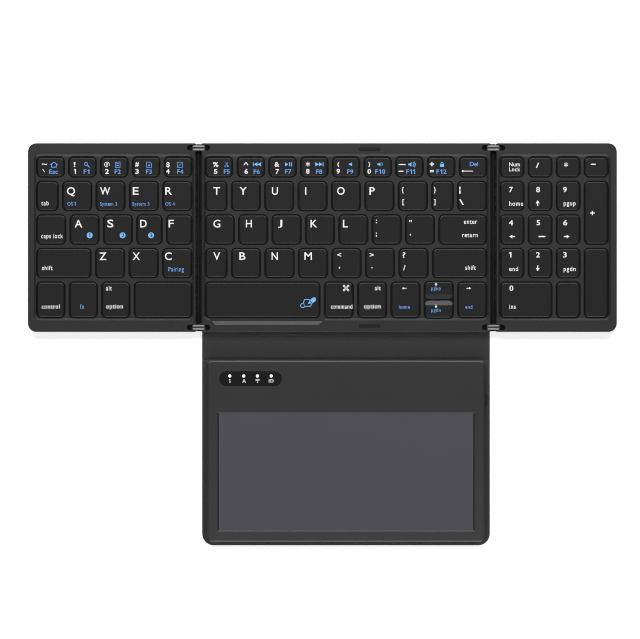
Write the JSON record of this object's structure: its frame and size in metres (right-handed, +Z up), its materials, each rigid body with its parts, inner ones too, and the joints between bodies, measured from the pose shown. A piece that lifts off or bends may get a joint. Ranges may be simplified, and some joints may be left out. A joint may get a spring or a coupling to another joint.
{
  "type": "folding keyboard",
  "caption": "Slim three-panel folding keyboard with double-pin hinges, number pad and a cover flap that carries a touchpad, laid open and flat.",
  "frame": {"origin": "centre of the middle panel's footprint, on the surface that the open keyboard lies on", "axes": "+X to the right along the rows of keys, +Y to the rear, away from the user, +Z up"},
  "size_m": [0.3192, 0.2181, 0.006],
  "materials": {
    "case_plastic": "fine matt moulded ABS, dark grey",
    "frame_plastic": "fine matt moulded ABS, dark grey",
    "key_plastic": "matt moulded key caps, near black",
    "cover_leather": "smooth coated leatherette, dark grey",
    "hinge_metal": "bare brushed steel",
    "inner_steel": "stamped sheet steel",
    "spine_plastic": "matt nylon, near black",
    "rubber": "soft black rubber",
    "membrane_film": "printed polyester film",
    "mechanism": "white nylon levers and silicone domes",
    "board": "green circuit board",
    "cable_film": "amber polyimide flat cable",
    "touch_plate": "satin touch plate, mid grey",
    "window_plastic": "tinted glossy window",
    "battery_foil": "aluminised pouch"
  },
  "bodies": {
    "centre": {"back_cover": "cover_leather", "centre_bottom_case": "case_plastic", "centre_support_plate": "inner_steel", "centre_membrane": "membrane_film", "centre_key_mechanisms": "mechanism", "centre_top_frame": "frame_plastic", "centre_hinge_brackets": "inner_steel", "centre_screws": "inner_steel", "controller_board": "board", "fold_bumpers": "rubber"},
    "left_hinge": {"left_hinge_links": "hinge_metal", "left_hinge_pins": "hinge_metal", "left_hinge_spine": "spine_plastic", "left_flat_cable": "cable_film"},
    "left_panel": {"left_bottom_case": "case_plastic", "left_support_plate": "inner_steel", "left_key_mechanisms": "mechanism", "left_top_frame": "frame_plastic", "left_hinge_brackets": "inner_steel", "left_feet": "rubber"},
    "right_hinge": {"right_hinge_links": "hinge_metal", "right_hinge_pins": "hinge_metal", "right_hinge_spine": "spine_plastic", "right_flat_cable": "cable_film"},
    "right_panel": {"right_bottom_case": "case_plastic", "right_support_plate": "inner_steel", "right_key_mechanisms": "mechanism", "right_top_frame": "frame_plastic", "right_hinge_brackets": "inner_steel", "right_feet": "rubber"},
    "flap": {"cover_flap": "cover_leather"},
    "touchpad": {"touchpad_cover": "cover_leather", "touchpad_housing": "frame_plastic", "touchpad_board": "board", "touch_surface": "touch_plate", "battery": "battery_foil", "indicator_window": "window_plastic", "charging_port": "inner_steel"},
    "switch_knob": {"power_switch": "key_plastic"},
    "left_function_keys": {"left_function_keys": "key_plastic"},
    "left_upper_keys": {"left_upper_keys": "key_plastic"},
    "left_home_keys": {"left_home_keys": "key_plastic"},
    "left_lower_keys": {"left_lower_keys": "key_plastic"},
    "left_modifier_keys": {"left_modifier_keys": "key_plastic"},
    "centre_function_keys": {"centre_function_keys": "key_plastic"},
    "centre_upper_keys": {"centre_upper_keys": "key_plastic"},
    "centre_home_keys": {"centre_home_keys": "key_plastic"},
    "enter_key": {"enter_key": "key_plastic"},
    "centre_lower_keys": {"centre_lower_keys": "key_plastic"},
    "space_bar": {"space_bar": "key_plastic"},
    "centre_modifier_keys": {"centre_modifier_keys": "key_plastic"},
    "up_key": {"up_key": "key_plastic"},
    "down_key": {"down_key": "key_plastic"},
    "pad_top_keys": {"pad_top_keys": "key_plastic"},
    "pad_789_keys": {"pad_789_keys": "key_plastic"},
    "pad_456_keys": {"pad_456_keys": "key_plastic"},
    "pad_123_keys": {"pad_123_keys": "key_plastic"},
    "pad_zero_keys": {"pad_zero_keys": "key_plastic"},
    "pad_plus_key": {"pad_plus_key": "key_plastic"},
    "pad_enter_key": {"pad_enter_key": "key_plastic"}
  },
  "joints": [
    {"name": "left_panel_fold", "type": "hinge", "parent": "left_hinge", "child": "left_panel", "pos_m": [-0.0822, 0, 0.00365], "axis": [0, 1, 0], "range_deg": [0, 90], "deforming": ["left_flat_cable"]},
    {"name": "left_hinge_turn", "type": "hinge", "parent": "centre", "child": "left_hinge", "pos_m": [-0.0776, 0, 0.00365], "axis": [0, 1, 0], "range_deg": [0, 90]},
    {"name": "right_panel_fold", "type": "hinge", "parent": "right_hinge", "child": "right_panel", "pos_m": [0.0822, 0, 0.00365], "axis": [0, -1, 0], "range_deg": [0, 90], "deforming": ["right_flat_cable"]},
    {"name": "right_hinge_turn", "type": "hinge", "parent": "centre", "child": "right_hinge", "pos_m": [0.0776, 0, 0.00365], "axis": [0, -1, 0], "range_deg": [0, 90]},
    {"name": "cover_fold", "type": "hinge", "parent": "centre", "child": "flap", "pos_m": [0, -0.05142, 0.001], "axis": [-1, 0, 0], "range_deg": [0, 90]},
    {"name": "touchpad_fold", "type": "hinge", "parent": "flap", "child": "touchpad", "pos_m": [0, -0.06642, 0.001], "axis": [-1, 0, 0], "range_deg": [0, 90]},
    {"name": "power_slide", "type": "slide", "parent": "touchpad", "child": "switch_knob", "axis": [0, -1, 0], "range_m": [0, 0.002]},
    {"name": "left_function_press", "type": "slide", "parent": "left_panel", "child": "left_function_keys", "axis": [0, 0, -1], "range_m": [0, 0.0012], "stiffness_N_per_m": 2000, "springref_m": -0.0005, "deforming": ["left_key_mechanisms"]},
    {"name": "left_upper_press", "type": "slide", "parent": "left_panel", "child": "left_upper_keys", "axis": [0, 0, -1], "range_m": [0, 0.0012], "stiffness_N_per_m": 2000, "springref_m": -0.0005},
    {"name": "left_home_press", "type": "slide", "parent": "left_panel", "child": "left_home_keys", "axis": [0, 0, -1], "range_m": [0, 0.0012], "stiffness_N_per_m": 2000, "springref_m": -0.0005},
    {"name": "left_lower_press", "type": "slide", "parent": "left_panel", "child": "left_lower_keys", "axis": [0, 0, -1], "range_m": [0, 0.0012], "stiffness_N_per_m": 1600, "springref_m": -0.0005},
    {"name": "left_modifier_press", "type": "slide", "parent": "left_panel", "child": "left_modifier_keys", "axis": [0, 0, -1], "range_m": [0, 0.0012], "stiffness_N_per_m": 1600, "springref_m": -0.0005},
    {"name": "centre_function_press", "type": "slide", "parent": "centre", "child": "centre_function_keys", "axis": [0, 0, -1], "range_m": [0, 0.0012], "stiffness_N_per_m": 3600, "springref_m": -0.0005, "deforming": ["centre_key_mechanisms"]},
    {"name": "centre_upper_press", "type": "slide", "parent": "centre", "child": "centre_upper_keys", "axis": [0, 0, -1], "range_m": [0, 0.0012], "stiffness_N_per_m": 3600, "springref_m": -0.0005},
    {"name": "centre_home_press", "type": "slide", "parent": "centre", "child": "centre_home_keys", "axis": [0, 0, -1], "range_m": [0, 0.0012], "stiffness_N_per_m": 2800, "springref_m": -0.0005},
    {"name": "enter_press", "type": "slide", "parent": "centre", "child": "enter_key", "axis": [0, 0, -1], "range_m": [0, 0.0012], "stiffness_N_per_m": 400, "springref_m": -0.0005},
    {"name": "centre_lower_press", "type": "slide", "parent": "centre", "child": "centre_lower_keys", "axis": [0, 0, -1], "range_m": [0, 0.0012], "stiffness_N_per_m": 3200, "springref_m": -0.0005},
    {"name": "space_bar_press", "type": "slide", "parent": "centre", "child": "space_bar", "axis": [0, 0, -1], "range_m": [0, 0.0012], "stiffness_N_per_m": 400, "springref_m": -0.0005},
    {"name": "centre_modifier_press", "type": "slide", "parent": "centre", "child": "centre_modifier_keys", "axis": [0, 0, -1], "range_m": [0, 0.0012], "stiffness_N_per_m": 1600, "springref_m": -0.0005},
    {"name": "up_press", "type": "slide", "parent": "centre", "child": "up_key", "axis": [0, 0, -1], "range_m": [0, 0.0012], "stiffness_N_per_m": 400, "springref_m": -0.0005},
    {"name": "down_press", "type": "slide", "parent": "centre", "child": "down_key", "axis": [0, 0, -1], "range_m": [0, 0.0012], "stiffness_N_per_m": 400, "springref_m": -0.0005},
    {"name": "pad_top_press", "type": "slide", "parent": "right_panel", "child": "pad_top_keys", "axis": [0, 0, -1], "range_m": [0, 0.0012], "stiffness_N_per_m": 1600, "springref_m": -0.0005, "deforming": ["right_key_mechanisms"]},
    {"name": "pad_789_press", "type": "slide", "parent": "right_panel", "child": "pad_789_keys", "axis": [0, 0, -1], "range_m": [0, 0.0012], "stiffness_N_per_m": 1200, "springref_m": -0.0005},
    {"name": "pad_456_press", "type": "slide", "parent": "right_panel", "child": "pad_456_keys", "axis": [0, 0, -1], "range_m": [0, 0.0012], "stiffness_N_per_m": 1200, "springref_m": -0.0005},
    {"name": "pad_123_press", "type": "slide", "parent": "right_panel", "child": "pad_123_keys", "axis": [0, 0, -1], "range_m": [0, 0.0012], "stiffness_N_per_m": 1200, "springref_m": -0.0005},
    {"name": "pad_zero_press", "type": "slide", "parent": "right_panel", "child": "pad_zero_keys", "axis": [0, 0, -1], "range_m": [0, 0.0012], "stiffness_N_per_m": 800, "springref_m": -0.0005},
    {"name": "pad_plus_press", "type": "slide", "parent": "right_panel", "child": "pad_plus_key", "axis": [0, 0, -1], "range_m": [0, 0.0012], "stiffness_N_per_m": 400, "springref_m": -0.0005},
    {"name": "pad_enter_press", "type": "slide", "parent": "right_panel", "child": "pad_enter_key", "axis": [0, 0, -1], "range_m": [0, 0.0012], "stiffness_N_per_m": 400, "springref_m": -0.0005}
  ]
}
